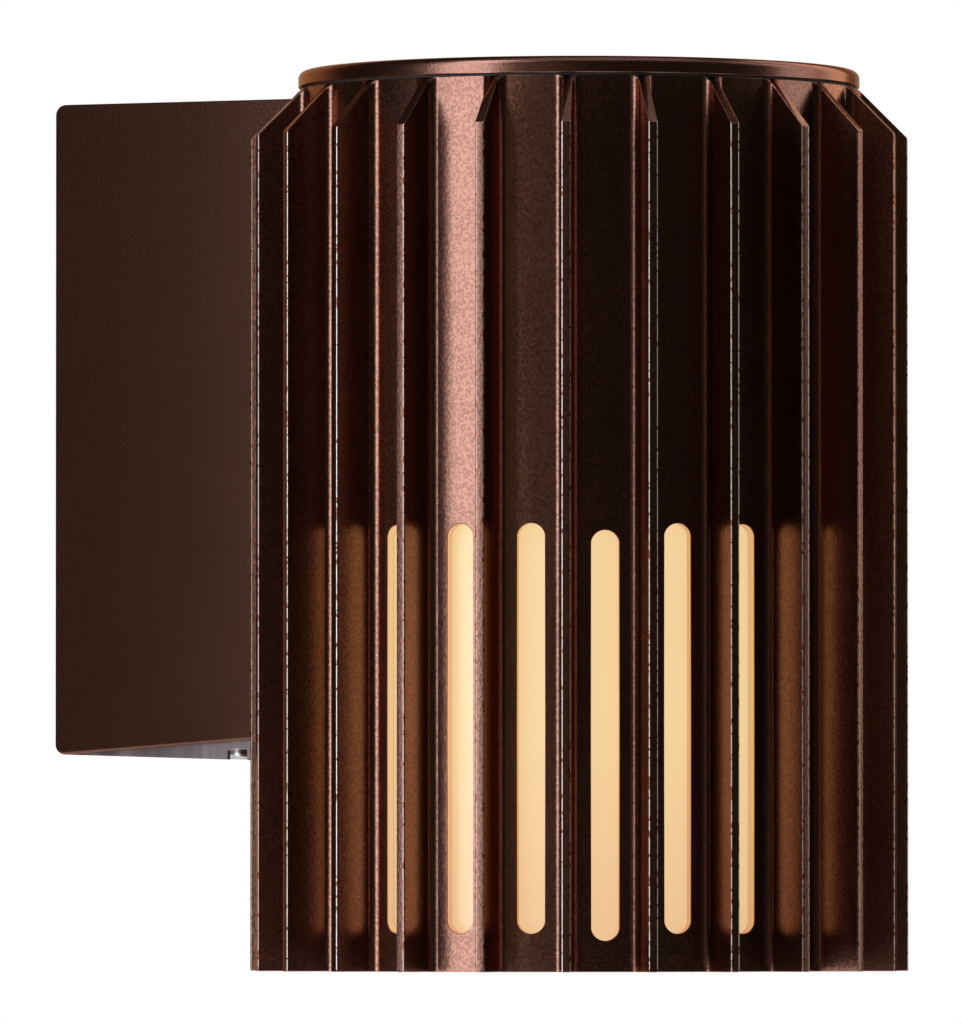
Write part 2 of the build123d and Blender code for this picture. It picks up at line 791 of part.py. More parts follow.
with BuildPart() as terminal_screws:
    with BuildSketch(facing_wall(block_front + pole_well_depth, block_middle)):
        with GridLocations(pole_pitch, 2 * pole_row, 3, 2):
            Circle(pole_screw_radius)
    extrude(amount=-pole_screw_height)
    with BuildSketch(facing_wall(block_front + pole_well_depth - pole_screw_height, block_middle)):
        with GridLocations(pole_pitch, 2 * pole_row, 3, 2):
            Rectangle(2 * pole_well_radius, pole_slot_width)
    extrude(amount=pole_slot_depth, mode=Mode.SUBTRACT)
export(terminal_screws, "terminal_screws")

with BuildPart() as earth_screws:
    earth_seat = facing_wall(-bracket_thickness, earth_screw_height).origin
    earth_length = bracket_thickness - screw_clearance
    with Locations(Location(Plane(earth_seat, z_dir=(0, 1, 0)))):
        add(pan_screw(small_head_radius, small_head_height, small_screw_radius, earth_length))
    with Locations(level(plate_high)):
        with Locations(Location((0, foot_screw_spread, 0), (180, 0, 0))):
            add(small_screw)
export(earth_screws, "earth_screws")


# Internal leads, from the terminal block through the saddle to the lampholder and the plate
def inside(x, out, height):
    """A point from its distance out from the wall and its height."""
    return (x, -out, base_z + height)


block_out = bracket_thickness + block_depth / 2
for name, side in (("live_lead", -1), ("neutral_lead", 1)):
    run = lead(
        [
            inside(side * pole_pitch, block_out, block_middle + block_height / 2 - 4),
            inside(side * pole_pitch, block_out, 117),
            inside(side * lead_spacing, 26, lead_hole_height),
            inside(side * lead_spacing, 60, lead_hole_height),
            inside(side * terminal_spread, 78, terminal_height),
            inside(side * terminal_spread, 92, terminal_height),
        ]
    )
    export(run, name)

earth_lead = lead(
    [
        inside(0, bracket_thickness + lead_radius, earth_screw_height + small_head_radius),
        inside(0, 7, 129),
        inside(0, 20, lead_hole_height),
        inside(0, 50, lead_hole_height - 0.5),
        inside(0, 61, 130),
        inside(0, 66.3, 120),
        inside(0, 66.3, plate_high),
    ]
)
export(earth_lead, "earth_lead")


# Bottom cover: a folded tray between the arm's cheeks, joggled up where its screw sits
def tray_underside(out):
    """Height of the tray's lower edge at a distance out from the wall."""
    return tray_start_height - tray_fall * out


with BuildPart() as bottom_cover:
    tray_half = arm_width / 2 - arm_wall - tray_fit
    with BuildSketch(side_plane):
        with BuildLine():
            Polyline(
                (tray_start, tray_underside(tray_start)),
                (tray_end, tray_underside(tray_end)),
                (tray_end, tray_step),
                (-cavity_y - tray_gap, tray_step),
                (-cavity_y - tray_gap, tray_top),
                (tray_start, tray_top),
                close=True,
            )
        make_face()
    extrude(amount=tray_half, both=True)
    with BuildSketch(side_plane):
        with BuildLine():
            Polyline(
                (0, tray_underside(0) + tray_sheet),
                (recess_start - tray_sheet, tray_underside(recess_start) + tray_sheet),
                (recess_start - tray_sheet + recess_lead, recess_ceiling + tray_sheet),
                (tray_end - tray_sheet, recess_ceiling + tray_sheet),
                (tray_end - tray_sheet, tray_top + overshoot),
                (0, tray_top + overshoot),
                close=True,
            )
        make_face()
    extrude(amount=tray_half - tray_sheet, both=True, mode=Mode.SUBTRACT)
    with BuildSketch(side_plane):
        with BuildLine():
            Polyline(
                (recess_start, tray_underside(recess_start) - overshoot),
                (recess_start + recess_lead, recess_ceiling),
                (tray_end + overshoot, recess_ceiling),
                (tray_end + overshoot, tray_underside(tray_end) - overshoot),
                close=True,
            )
        make_face()
    extrude(amount=tray_half - tray_sheet, both=True, mode=Mode.SUBTRACT)
    with BuildSketch(side_plane) as notch:
        notch_width = notch_far - notch_near
        with Locations(((notch_near + notch_far) / 2, recess_ceiling - notch_width)):
            Rectangle(notch_width, notch_width, align=(Align.CENTER, Align.MIN))
        fillet(notch.vertices().group_by(Axis.Y)[-1], notch_corner)
    extrude(amount=arm_width / 2, both=True, mode=Mode.SUBTRACT)
    with BuildSketch(Plane(origin=(0, -cover_screw_out, base_z + recess_ceiling))):
        Circle(small_screw_radius + small_screw_clearance)
    extrude(amount=2 * tray_sheet, both=True, mode=Mode.SUBTRACT)
export(bottom_cover, "bottom_cover")

with BuildPart() as cover_screw:
    with Locations(inside(0, cover_screw_out, recess_ceiling)):
        add(small_screw)
export(cover_screw, "cover_screw")
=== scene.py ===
import json
from math import cos, pi, radians, sin

import bpy
from mathutils import Matrix, Vector


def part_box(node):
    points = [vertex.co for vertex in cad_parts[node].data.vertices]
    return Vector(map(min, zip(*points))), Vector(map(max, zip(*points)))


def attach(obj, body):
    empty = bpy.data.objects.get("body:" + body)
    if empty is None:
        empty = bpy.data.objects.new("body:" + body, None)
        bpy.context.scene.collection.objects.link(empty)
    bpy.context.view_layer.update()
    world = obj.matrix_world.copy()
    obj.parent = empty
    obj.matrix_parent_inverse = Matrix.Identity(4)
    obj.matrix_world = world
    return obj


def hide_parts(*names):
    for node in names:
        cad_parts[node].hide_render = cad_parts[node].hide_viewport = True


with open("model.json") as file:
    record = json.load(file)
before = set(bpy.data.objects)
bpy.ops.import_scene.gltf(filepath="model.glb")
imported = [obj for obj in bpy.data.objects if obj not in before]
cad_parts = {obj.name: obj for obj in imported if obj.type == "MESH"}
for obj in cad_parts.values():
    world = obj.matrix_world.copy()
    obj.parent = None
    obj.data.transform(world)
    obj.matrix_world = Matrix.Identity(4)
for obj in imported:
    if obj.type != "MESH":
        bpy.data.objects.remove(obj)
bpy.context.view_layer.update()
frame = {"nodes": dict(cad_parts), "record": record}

# Outdoor wall light: a finned tube over an opal diffuser, carried by a box arm.
# Metres, in the light's own frame: +Z up, the wall at Y = 0, the light towards -Y.

mm = 0.001
nodes = frame["nodes"]

capLow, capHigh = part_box("top_cap")
tubeLow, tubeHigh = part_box("finned_body")
axisX = (capLow.x + capHigh.x) / 2
axisY = (capLow.y + capHigh.y) / 2


# Shader sums


class Wire:
    # a socket of a shader node: sums written with it add the nodes that work them out
    def __init__(self, tree, socket=None):
        self.tree = tree
        self.socket = socket

    def make(self, kind, settings=None, inputs=None, output=0):
        # adds a node: its settings first, then the values or links of its sockets
        node = self.tree.nodes.new("ShaderNode" + kind)
        for name, value in (settings or {}).items():
            setattr(node, name, value)
        for name, value in (inputs or {}).items():
            if isinstance(value, Wire):
                self.tree.links.new(value.socket, node.inputs[name])
            else:
                node.inputs[name].default_value = value
        return Wire(self.tree, node.outputs[output] if node.outputs else None)

    def sum(self, operation, *terms):
        return self.make("Math", {"operation": operation}, dict(enumerate(terms)))

    def __add__(self, other):
        return self.sum("ADD", self, other)

    def __radd__(self, other):
        return self.sum("ADD", other, self)

    def __sub__(self, other):
        return self.sum("SUBTRACT", self, other)

    def __rsub__(self, other):
        return self.sum("SUBTRACT", other, self)

    def __mul__(self, other):
        return self.sum("MULTIPLY", self, other)

    def __rmul__(self, other):
        return self.sum("MULTIPLY", other, self)

    def __truediv__(self, other):
        return self.sum("DIVIDE", self, other)

    def step(self, low, high):
        # 0 below low, 1 above high, smooth between
        limits = {"From Min": low, "From Max": high}
        return self.make("MapRange", {"interpolation_type": "SMOOTHSTEP"}, {"Value": self, **limits})

    def mix(self, first, second):
        # the first colour where this is 0, the second where it is 1
        colours = [colour if isinstance(colour, Wire) else (*colour, 1) for colour in (first, second)]
        sockets = {0: self, 6: colours[0], 7: colours[1]}
        return self.make("Mix", {"data_type": "RGBA"}, sockets, output=2)

    def out(self, name):
        return Wire(self.tree, self.socket.node.outputs[name])


def newMaterial(name):
    material = bpy.data.materials.new(name)
    material.use_nodes = True
    material.node_tree.nodes.clear()
    return material, Wire(material.node_tree)


def closeMaterial(material, wire, sockets):
    # one Principled shader with these sockets, on the material's output
    shader = wire.make("BsdfPrincipled", {}, sockets)
    wire.make("OutputMaterial", {}, {"Surface": shader})
    return material


def stretched(wire, place, scale):
    # the object's own coordinates, scaled differently each way
    return wire.make("Mapping", {}, {"Vector": place, "Scale": scale})


# Materials


finPitch = radians(15)
finCircle = 62.2 * mm


def noise(wire, place, scale, detail):
    return wire.make("TexNoise", {}, {"Vector": place, "Scale": scale, "Detail": detail})


def aboutAxis(wire, place):
    # how far a point is from the tube's axis, its turn round the axis and its height
    spot = wire.make("SeparateXYZ", {}, {"Vector": place}, output="X")
    across = spot - axisX
    along = axisY - spot.out("Y")
    radius = spot.sum("SQRT", across * across + along * along)
    return radius, spot.sum("ARCTAN2", across, along), spot.out("Z")


def between(wire, start, end):
    # 1 between two soft ends, each given as where it starts and where it is complete
    return wire.step(*start) * (1 - wire.step(*end))


def wornHighlitFinEdges(radius, turn, chips, wearAndPaintedLight):
    # 1 along the two long edges of each fin's tip, broken up by the chips: worn paint there, and also a
    # painted highlight that brightens the lines of light along the tips
    turns = turn / finPitch
    beside = turns.sum("ABSOLUTE", turns.sum("FRACT", turns) - 0.5) * finPitch * radius
    tip = between(radius, wearAndPaintedLight["tipStart"], wearAndPaintedLight["tipEnd"])
    return beside.step(*wearAndPaintedLight["edge"]) * tip * chips.step(*wearAndPaintedLight["chip"])


def bareGlowLitSlotWalls(radius, height, wearAndPaintedLight):
    # 1 on the cut walls of the light slots: bare metal there, and also a painted reflection of the
    #                                        diffuser's glow
    inWall = between(radius, wearAndPaintedLight["wallInside"], wearAndPaintedLight["wallOutside"])
    return inWall * between(height, wearAndPaintedLight["slotFoot"], wearAndPaintedLight["slotTop"])


def bronzePaint(name, wearAndPaintedLight=None, flake=0.5):
    # the third argument is for the finned tube: worn fin edges that also carry a painted highlight, and
    # slot walls of bare metal that also carry a painted reflection of the glow; flake says how strongly the
    # metal grain shows, 0.5 being all of it
    paint = {
        "colour": (0.150, 0.066, 0.046),
        "lighter": (0.245, 0.114, 0.084),
        "grazing": (1.0, 0.48, 0.28),
        "rough": 0.25,
        "roughGrain": 0.08,
        "metallic": 1.0,
        "coat": 0.35,
        "coatRough": 0.16,
        "coatIOR": 1.5,
        "grainScale": 2000,
        "grainDetail": 3.0,
        "cloudScale": 45,
        "cloudDetail": 2.0,
        "cloudShare": 0.2,
        "tone": (0.40, 0.60),
        "grainBump": 1.0,
        "grainDepth": 0.03 * mm,
    }
    material, wire = newMaterial(name)
    place = wire.make("TexCoord", output="Object")
    grain = noise(wire, place, paint["grainScale"], paint["grainDetail"])
    cloud = noise(wire, place, paint["cloudScale"], paint["cloudDetail"])
    speckle = (grain * (1 - paint["cloudShare"]) + cloud * paint["cloudShare"]).step(*paint["tone"])
    tone = 0.5 + (speckle - 0.5) * (2 * flake)
    colour = tone.mix(paint["colour"], paint["lighter"])
    rough = paint["rough"] + (grain - 0.5) * paint["roughGrain"]
    if wearAndPaintedLight:
        radius, turn, height = aboutAxis(wire, place)
        chips = noise(wire, place, wearAndPaintedLight["chipScale"], wearAndPaintedLight["chipDetail"])
        # the fin tips' lighter edges: worn paint, and also a painted highlight along the tips
        wornHighlitEdges = wornHighlitFinEdges(radius, turn, chips, wearAndPaintedLight)
        # the slot walls' light warm metal: bare metal, and also a painted reflection of the diffuser's glow
        bareGlowLitWalls = bareGlowLitSlotWalls(radius, height, wearAndPaintedLight)
        colour = bareGlowLitWalls.mix(wornHighlitEdges.mix(colour, wearAndPaintedLight["wornHighlitEdgeMetal"]), wearAndPaintedLight["bareGlowLitWallMetal"])
        rough = rough + wornHighlitEdges * (wearAndPaintedLight["wornHighlitEdgeRough"] - paint["rough"])
        rough = rough + bareGlowLitWalls * (wearAndPaintedLight["wallRough"] - paint["rough"])
    bumpSockets = {"Height": grain, "Strength": paint["grainBump"], "Distance": paint["grainDepth"]}
    sockets = {
        "Base Color": colour,
        "Metallic": paint["metallic"],
        "Specular Tint": (*paint["grazing"], 1),
        "Roughness": rough,
        "Coat Weight": paint["coat"],
        "Coat Roughness": paint["coatRough"],
        "Coat IOR": paint["coatIOR"],
        "Normal": wire.make("Bump", {}, bumpSockets),
    }
    return closeMaterial(material, wire, sockets)


# the finned tube's lighter fin edges (worn paint and a painted highlight) and slot walls (bare metal and a
# painted reflection of the glow)
finWearAndPaintedLight = {
    "edge": (0.55 * mm, 0.75 * mm),
    "tipStart": (finCircle - 0.35 * mm, finCircle),
    "tipEnd": (finCircle + 0.1 * mm, finCircle + 0.2 * mm),
    "chipScale": 900,
    "chipDetail": 2.0,
    "chip": (0.38, 0.46),
    "wallInside": (50.92 * mm, 50.98 * mm),
    "wallOutside": (52.60 * mm, 52.72 * mm),
    "slotFoot": (tubeLow.z + 4 * mm, tubeLow.z + 5 * mm),
    "slotTop": (-12 * mm, -10 * mm),
    # lighter metal of the fin-tip edges: worn paint, and also a painted highlight
    "wornHighlitEdgeMetal": (0.62, 0.55, 0.50),
    "wornHighlitEdgeRough": 0.30,
    # light warm metal of the slot walls: bare metal, and also a painted reflection of the glow
    "bareGlowLitWallMetal": (0.90, 0.78, 0.66),
    "wallRough": 0.45,
}


def opalPlastic():
    opal = {
        "base": (0.15, 0.125, 0.095),
        "glowLow": (0.79, 0.50, 0.255),
        "glowMiddle": (0.84, 0.585, 0.285),
        "middle": 0.5,
        "rough": 0.42,
        "roughCloud": 0.1,
        "cloudScale": 60.0,
        "cloudDetail": 2.0,
        "strength": 1.0,
    }
    material, wire = newMaterial("opal_plastic")
    place = wire.make("TexCoord", output="Object")
    height = wire.make("SeparateXYZ", {}, {"Vector": place}, output="Z")
    low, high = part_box("diffuser")
    rise = height.step(low.z, low.z + opal["middle"] * (high.z - low.z))
    cloud = noise(wire, place, opal["cloudScale"], opal["cloudDetail"])
    sockets = {
        "Base Color": opal["base"] + (1,),
        "Roughness": opal["rough"] + (cloud - 0.5) * opal["roughCloud"],
        "Emission Color": rise.mix(opal["glowLow"], opal["glowMiddle"]),
        "Emission Strength": opal["strength"],
    }
    return closeMaterial(material, wire, sockets)


finishDetail = 4.0
finishTones = (0.3, 0.7)


def plainFinish(name, finish):
    # a finish with fine grain: colour between two tones, rough and bumped by the same grain
    material, wire = newMaterial(name)
    place = wire.make("TexCoord", output="Object")
    spread = stretched(wire, place, finish.get("stretch", (1, 1, 1)))
    grain = noise(wire, spread, finish["grainScale"], finishDetail)
    bumpSockets = {"Height": grain, "Strength": finish["bump"], "Distance": finish["depth"]}
    sockets = {
        "Base Color": grain.step(*finishTones).mix(finish["colour"], finish["lighter"]),
        "Metallic": finish.get("metallic", 0.0),
        "Roughness": finish["rough"] + (grain - 0.5) * finish["roughGrain"],
        "Normal": wire.make("Bump", {}, bumpSockets),
    }
    if "glow" in finish:
        sockets["Emission Color"] = (*finish["glow"], 1)
        sockets["Emission Strength"] = finish["strength"]
    return closeMaterial(material, wire, sockets)


finishes = {
    "galvanised_sheet": {
        "colour": (0.42, 0.43, 0.44),
        "lighter": (0.58, 0.59, 0.60),
        "metallic": 1.0,
        "rough": 0.38,
        "roughGrain": 0.2,
        "grainScale": 160,
        "bump": 0.1,
        "depth": 0.05 * mm,
    },
    "bare_sheet": {
        "colour": (0.30, 0.26, 0.27),
        "lighter": (0.45, 0.40, 0.41),
        "metallic": 1.0,
        "rough": 0.36,
        "roughGrain": 0.2,
        "grainScale": 240,
        "stretch": (1, 1, 0.06),
        "bump": 0.1,
        "depth": 0.03 * mm,
    },
    "zinc_steel": {
        "colour": (0.50, 0.50, 0.51),
        "lighter": (0.66, 0.66, 0.67),
        "metallic": 1.0,
        "rough": 0.26,
        "roughGrain": 0.15,
        "grainScale": 900,
        "bump": 0.06,
        "depth": 0.02 * mm,
    },
    "brass": {
        "colour": (0.58, 0.40, 0.15),
        "lighter": (0.72, 0.53, 0.22),
        "metallic": 1.0,
        "rough": 0.28,
        "roughGrain": 0.15,
        "grainScale": 700,
        "bump": 0.05,
        "depth": 0.02 * mm,
    },
    "bulb_metal": {
        "colour": (0.62, 0.62, 0.63),
        "lighter": (0.76, 0.76, 0.77),
        "metallic": 1.0,
        "rough": 0.25,
        "roughGrain": 0.12,
        "grainScale": 800,
        "bump": 0.04,
        "depth": 0.02 * mm,
    },
    "black_rubber": {
        "colour": (0.018, 0.018, 0.018),
        "lighter": (0.030, 0.030, 0.030),
        "rough": 0.72,
        "roughGrain": 0.2,
        "grainScale": 900,
        "bump": 0.25,
        "depth": 0.05 * mm,
    },
    "seal_silicone": {
        "colour": (0.36, 0.08, 0.05),
        "lighter": (0.44, 0.12, 0.08),
        "rough": 0.45,
        "roughGrain": 0.1,
        "grainScale": 600,
        "bump": 0.1,
        "depth": 0.03 * mm,
    },
    "opal_globe": {
        "colour": (0.50, 0.46, 0.38),
        "lighter": (0.53, 0.49, 0.41),
        "rough": 0.38,
        "roughGrain": 0.05,
        "grainScale": 500,
        "bump": 0.03,
        "depth": 0.02 * mm,
        "glow": (1.0, 0.80, 0.50),
        "strength": 0.75,
    },
    "white_plastic": {
        "colour": (0.60, 0.59, 0.56),
        "lighter": (0.66, 0.65, 0.62),
        "rough": 0.42,
        "roughGrain": 0.1,
        "grainScale": 1200,
        "bump": 0.08,
        "depth": 0.02 * mm,
    },
    "black_plastic": {
        "colour": (0.020, 0.020, 0.021),
        "lighter": (0.032, 0.032, 0.033),
        "rough": 0.34,
        "roughGrain": 0.12,
        "grainScale": 1400,
        "bump": 0.12,
        "depth": 0.03 * mm,
    },
    "brown_lead": {
        "colour": (0.10, 0.035, 0.015),
        "lighter": (0.13, 0.048, 0.022),
        "rough": 0.4,
        "roughGrain": 0.1,
        "grainScale": 900,
        "bump": 0.06,
        "depth": 0.02 * mm,
    },
    "blue_lead": {
        "colour": (0.020, 0.080, 0.40),
        "lighter": (0.028, 0.10, 0.46),
        "rough": 0.4,
        "roughGrain": 0.1,
        "grainScale": 900,
        "bump": 0.06,
        "depth": 0.02 * mm,
    },
    "green_yellow_lead": {
        "colour": (0.06, 0.30, 0.05),
        "lighter": (0.08, 0.34, 0.06),
        "rough": 0.4,
        "roughGrain": 0.1,
        "grainScale": 900,
        "bump": 0.06,
        "depth": 0.02 * mm,
    },
}

materials = {name: plainFinish(name, finish) for name, finish in finishes.items()}
materials["bronze_paint"] = bronzePaint("bronze_paint", flake=0.22)
materials["worn_highlit_bronze_paint"] = bronzePaint("worn_highlit_bronze_paint", finWearAndPaintedLight)
materials["opal_plastic"] = opalPlastic()

for part in frame["record"]["subparts"]:
    for slot in nodes[part["node"]].material_slots:
        # the finned tube gets the paint with the painted highlight on its fin edges and the painted glow
        # reflection on its slot walls
        wornHighlit = part["node"] == "finned_body"
        slot.material = materials["worn_highlit_bronze_paint" if wornHighlit else part["material_slot"]]
print("materials made:", len(materials))


# Mesh tools: each one is a few steps of Edit Mode


def pickNothing():
    bpy.ops.object.select_all(action="DESELECT")


def started(name):
    # the primitive that was just added, named, with its place in its mesh
    piece = bpy.context.object
    piece.name = name
    bpy.ops.object.transform_apply(location=True, rotation=True, scale=True)
    return piece


def useOnly(piece):
    pickNothing()
    piece.select_set(True)
    bpy.context.view_layer.objects.active = piece


def pick(piece, kind, test):
    # Edit Mode on the piece, with only the corners, edges or faces selected that pass the test
    useOnly(piece)
    bpy.context.tool_settings.mesh_select_mode = [kind == name for name in ("VERT", "EDGE", "FACE")]
    mesh = piece.data
    for group in (mesh.vertices, mesh.edges, mesh.polygons):
        group.foreach_set("select", [False] * len(group))
    if kind == "EDGE":
        for edge in mesh.edges:
            edge.select = test(*[mesh.vertices[corner].co for corner in edge.vertices])
    elif kind == "VERT":
        for corner in mesh.vertices:
            corner.select = test(corner.co)
    else:
        for face in mesh.polygons:
            face.select = test(face.center, face.normal)
    bpy.ops.object.mode_set(mode="EDIT")


def done():
    bpy.ops.object.mode_set(mode="OBJECT")


def extrude(step):
    bpy.ops.mesh.extrude_region_move(TRANSFORM_OT_translate={"value": step})


def roundEdges(width, segments=2):
    bpy.ops.mesh.bevel(affect="EDGES", offset=width, segments=segments, clamp_overlap=False)


def roundCorners(width, segments):
    bpy.ops.mesh.bevel(affect="VERTICES", offset=width, segments=segments)


def applied(piece, kind, settings):
    # adds a modifier with these settings and applies it
    useOnly(piece)
    modifier = piece.modifiers.new(kind.lower(), kind)
    for name, value in settings.items():
        setattr(modifier, name, value)
    bpy.ops.object.modifier_apply(modifier=modifier.name)
    return piece


def combined(piece, tool, operation):
    # the boolean of the piece with a tool, which is used up
    applied(piece, "BOOLEAN", {"operation": operation, "solver": "EXACT", "object": tool})
    bpy.data.objects.remove(tool)
    return piece


def joined(pieces):
    pickNothing()
    for piece in pieces:
        piece.select_set(True)
    bpy.context.view_layer.objects.active = pieces[0]
    bpy.ops.object.join()
    return pieces[0]


def copied(piece, matrix=None):
    twin = piece.copy()
    twin.data = piece.data.copy()
    bpy.context.scene.collection.objects.link(twin)
    if matrix:
        twin.data.transform(matrix)
    return twin


def turned(angle):
    # a turn about the tube's axis
    centre = Vector((axisX, axisY, 0))
    return Matrix.Translation(centre) @ Matrix.Rotation(angle, 4, "Z") @ Matrix.Translation(-centre)


def rod(name, radius, start, end, vertices=32):
    # a cylinder between two points
    start = Vector(start)
    end = Vector(end)
    pickNothing()
    bpy.ops.mesh.primitive_cylinder_add(
        vertices=vertices,
        radius=radius,
        depth=(end - start).length,
        location=(start + end) / 2,
        rotation=(end - start).to_track_quat("Z", "Y").to_euler(),
    )
    return started(name)


def block(name, low, high):
    low = Vector(low)
    high = Vector(high)
    pickNothing()
    bpy.ops.mesh.primitive_cube_add(size=1, location=(low + high) / 2, scale=high - low)
    return started(name)


def finished(piece, body, slot, replaced, angle=30, material=None):
    # shading, finish, and the body and node that the piece stands for
    useOnly(piece)
    bpy.ops.object.shade_smooth_by_angle(angle=radians(angle))
    applied(piece, "WEIGHTED_NORMAL", {"keep_sharp": True})
    piece.data.materials.clear()
    piece.data.materials.append(materials[material or slot])
    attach(piece, body)
    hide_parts(*replaced)
    print(piece.name, "made:", len(piece.data.polygons), "faces")
    return piece


# Finned tube

tube = {
    "radius": 52.9 * mm,
    "boreRadius": 50.9 * mm,
    "finCircle": finCircle,
    "halfFin": 0.9 * mm,
    "rootRadius": 1.6 * mm,
    "armSideRoot": 0.9 * mm,
    "tipRadius": 0.3 * mm,
    "edge": 0.16 * mm,
    "topFlat": 0.1 * mm,
    "slotWidth": 5.3 * mm,
    "slotLength": 76.1 * mm,
    "slotMiddle": 45.15 * mm,
    "slotSpan": 135,
    "slotPitch": 15,
    "lowSlot": -60,
    "lowSlotDrop": 1.3 * mm,
    "slotRim": 0.22 * mm,
    "slotBack": 48 * mm,
    "slotFlare": ((0.12, 0.03), (0.10, 0.10), (0.16, 0.30), (0.6, 0.6)),
    "finCount": 22,
    "firstFin": 1.5 * finPitch,
    "armSide": 19.9 * mm,
    "sides": 96,
    "blankSides": 192,
    "weld": 0.004 * mm,
}


def finDirections():
    # one direction for each fin; the two in front of the arm are left out
    turns = [tube["firstFin"] + n * finPitch for n in range(tube["finCount"])]
    return [Vector((sin(turn), cos(turn), 0)) for turn in turns]


def slotCutter():
    # one light slot, facing -Y, with a rim that widens where it meets the tube's surface
    middle = tubeLow.z + tube["slotMiddle"]
    shoulder = axisY - tube["radius"] + tube["slotRim"]
    back = (axisX, axisY - tube["slotBack"], middle)
    cutter = rod("slotCutter", tube["slotWidth"] / 2, back, (axisX, shoulder, middle))
    stretch = (tube["slotLength"] - tube["slotWidth"]) / 2
    for side in (-1, 1):
        pick(cutter, "VERT", lambda spot: side * (spot.z - middle) > 0.01 * mm)
        bpy.ops.transform.translate(value=(0, 0, side * stretch))
        done()
    pick(cutter, "FACE", lambda centre, normal: normal.y < -0.9)
    for depth, spread in tube["slotFlare"]:
        extrude((0, -depth * mm, 0))
        widths = (tube["slotWidth"], tube["slotLength"])
        wider, taller = [1 + 2 * spread * mm / width for width in widths]
        bpy.ops.transform.resize(value=(wider, 1, taller), center_override=(axisX, axisY, middle))
    done()
    return cutter


def makeFinnedTube():
    pickNothing()
    bpy.ops.mesh.primitive_circle_add(
        vertices=tube["sides"],
        radius=tube["radius"],
        fill_type="NGON",
        location=(axisX, axisY, tubeLow.z),
    )
    piece = started("finnedTube")
    centre = Vector((axisX, axisY, 0))
    directions = finDirections()

    def flat(spot):
        return Vector((spot.x, spot.y, 0)) - centre

    def byFin(spot, radius, reach):
        # whether a corner at this radius is next to a fin's middle line
        out = flat(spot)
        near = any((out - radius * way).length < reach for way in directions)
        return near and abs(out.length - radius) < 0.5 * mm

    # the fins' feet, then the fins, one by one
    pick(piece, "VERT", lambda spot: byFin(spot, tube["radius"], 0.2 * mm))
    roundCorners(tube["halfFin"], 1)
    done()
    for way in directions:
        foot = tube["radius"] * way
        pick(piece, "EDGE", lambda a, b: (flat((a + b) / 2) - foot).length < 0.3 * mm)
        extrude(way * (tube["finCircle"] - tube["radius"] * cos(tube["halfFin"] / tube["radius"])))
        done()
    pick(piece, "FACE", lambda centre, normal: True)
    bpy.ops.mesh.normals_make_consistent(inside=False)
    bpy.ops.mesh.dissolve_faces()
    done()

    # rounded roots and tips, smaller roots beside the arm
    def besideArm(spot):
        return spot.y > axisY and abs(spot.x) < tube["armSide"]

    pick(piece, "VERT", lambda spot: byFin(spot, tube["radius"], 1.5 * mm) and not besideArm(spot))
    roundCorners(tube["rootRadius"], 6)
    done()
    pick(piece, "VERT", lambda spot: byFin(spot, tube["radius"], 1.0 * mm) and besideArm(spot))
    roundCorners(tube["armSideRoot"], 4)
    done()
    pick(piece, "VERT", lambda spot: flat(spot).length > tube["finCircle"] - 0.2 * mm)
    roundCorners(tube["tipRadius"], 3)
    done()
    pick(piece, "FACE", lambda centre, normal: True)
    extrude((0, 0, tubeHigh.z - tubeLow.z))
    done()
    pick(piece, "FACE", lambda centre, normal: True)
    bpy.ops.mesh.normals_make_consistent(inside=False)
    done()

    # the fins' sloping tops: what lies inside a cylinder with a wide chamfer
    blankRadius = tube["finCircle"] + 0.5 * mm
    above = 1.0 * mm
    ends = ((axisX, axisY, tubeLow.z - above), (axisX, axisY, tubeHigh.z + above))
    blank = rod("blank", blankRadius, *ends, vertices=tube["blankSides"])
    blank.data.transform(turned(pi / tube["blankSides"]))
    pick(blank, "EDGE", lambda a, b: min(a.z, b.z) > tubeHigh.z)
    roundEdges(blankRadius - tube["radius"] - tube["topFlat"] + above, 1)
    done()
    combined(piece, blank, "INTERSECT")

    # the lower rim and the rims of the sloping tops
    def onTop(spot):
        slope = flat(spot).length - tube["radius"] - tube["topFlat"] + spot.z - tubeHigh.z
        return abs(slope) < 0.08 * mm or spot.z > tubeHigh.z - 0.01 * mm

    def upperRim(a, b):
        across = abs(flat(a).length - flat(b).length) < 0.005 * mm and a.z > tubeHigh.z - 0.01 * mm
        inner = flat(a).length > tube["radius"] + 0.05 * mm and across
        return onTop(a) and onTop(b) and not inner

    pick(piece, "EDGE", lambda a, b: max(a.z, b.z) < tubeLow.z + 0.01 * mm or upperRim(a, b))
    roundEdges(tube["edge"])
    done()

    bore = rod("bore", tube["boreRadius"], *ends, vertices=tube["sides"])
    combined(piece, bore, "DIFFERENCE")

    # the light slots
    cutter = slotCutter()
    cutters = []
    for degrees in range(-tube["slotSpan"], tube["slotSpan"] + 1, tube["slotPitch"]):
        drop = tube["lowSlotDrop"] if degrees == tube["lowSlot"] else 0
        cutters.append(copied(cutter, Matrix.Translation((0, 0, -drop)) @ turned(radians(degrees))))
    bpy.data.objects.remove(cutter)
    combined(piece, joined(cutters), "DIFFERENCE")
    pick(piece, "VERT", lambda spot: True)
    bpy.ops.mesh.remove_doubles(threshold=tube["weld"])
    done()
    return piece


def level(height):
    # a height above the fins' lower ends, in millimetres
    return tubeLow.z + height * mm


def fromAxis(x, y, height):
    # a point in millimetres from the tube's axis and the fins' lower ends
    return Vector((axisX + x * mm, axisY + y * mm, level(height)))


